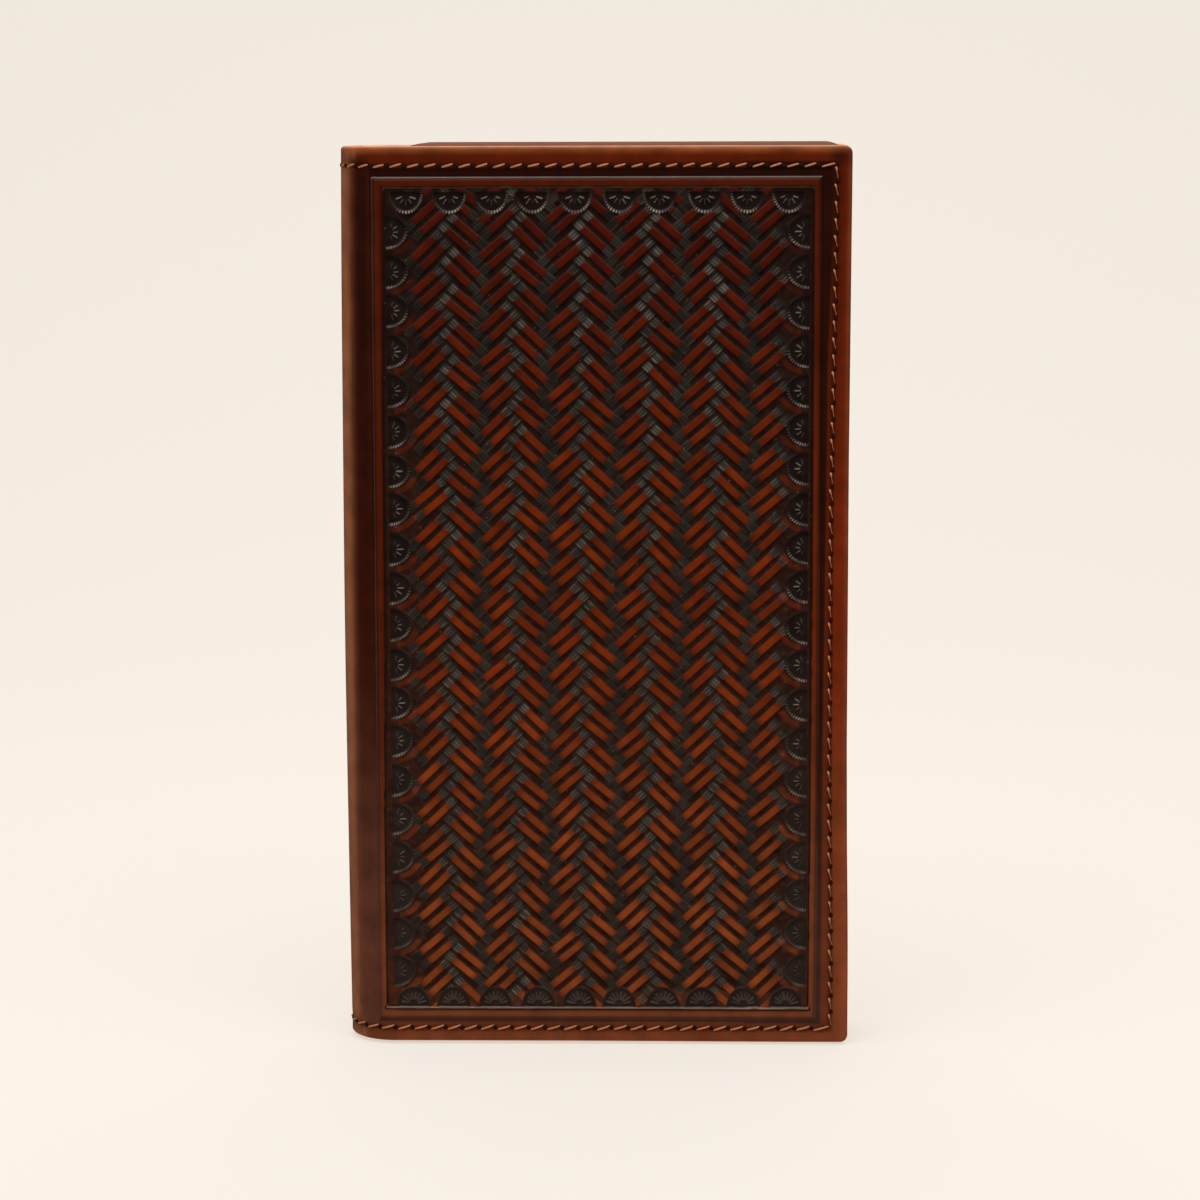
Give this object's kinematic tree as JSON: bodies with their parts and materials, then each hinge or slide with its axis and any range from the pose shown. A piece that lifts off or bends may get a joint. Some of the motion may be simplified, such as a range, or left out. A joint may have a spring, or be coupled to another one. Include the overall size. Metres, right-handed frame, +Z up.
{
  "type": "wallet",
  "caption": "Tall folding leather wallet with a basketweave panel inside a border of half-moon stamps; it opens like a book to card slots, bill pockets and a clear ID window.",
  "frame": {"origin": "centre of the closed wallet's bounding box, on the plane of its bottom edge", "axes": "+Z up along the tall side, front cover faces -Y, folding edge towards -X, free edge towards +X"},
  "size_m": [0.099, 0.019, 0.1778],
  "materials": {
    "tooled_leather": "satin",
    "lining_leather": "matte",
    "pocket_leather": "satin",
    "clear_vinyl": "gloss"
  },
  "bodies": {
    "back": {"back_cover": "tooled_leather", "back_lining": "lining_leather", "back_pocket_panel": "pocket_leather", "back_card_slot_1": "pocket_leather", "back_card_slot_2": "pocket_leather", "back_card_slot_3": "pocket_leather", "back_card_slot_4": "pocket_leather", "back_card_slot_5": "pocket_leather", "back_card_slot_6": "pocket_leather"},
    "spine_back": {"spine_back_leather": "tooled_leather", "spine_back_lining": "lining_leather"},
    "spine_middle": {"spine_middle_leather": "tooled_leather", "spine_middle_lining": "lining_leather"},
    "spine_front": {"spine_front_leather": "tooled_leather", "spine_front_lining": "lining_leather"},
    "front": {"front_cover": "tooled_leather", "front_lining": "lining_leather", "front_pocket_panel": "pocket_leather", "front_card_slot_1": "pocket_leather", "front_card_slot_2": "pocket_leather", "front_card_slot_3": "pocket_leather", "id_window_frame": "pocket_leather", "id_window_sheet": "clear_vinyl"}
  },
  "joints": [
    {"name": "fold_1", "type": "hinge", "parent": "back", "child": "spine_back", "pos_m": [-0.04373, 0.00901, 0.08875], "axis": [0, 0, -1], "range_deg": [0, 45]},
    {"name": "fold_2", "type": "hinge", "parent": "spine_back", "child": "spine_middle", "pos_m": [-0.04901, 0.00373, 0.08875], "axis": [0, 0, -1], "range_deg": [0, 45]},
    {"name": "fold_3", "type": "hinge", "parent": "spine_middle", "child": "spine_front", "pos_m": [-0.04901, -0.00373, 0.08875], "axis": [0, 0, -1], "range_deg": [0, 45]},
    {"name": "fold_4", "type": "hinge", "parent": "spine_front", "child": "front", "pos_m": [-0.04373, -0.00901, 0.08875], "axis": [0, 0, -1], "range_deg": [0, 45]}
  ],
  "couplings": [
    {"joint": "fold_2", "follows": "fold_1", "ratio": 1},
    {"joint": "fold_3", "follows": "fold_1", "ratio": 1},
    {"joint": "fold_4", "follows": "fold_1", "ratio": 1}
  ]
}
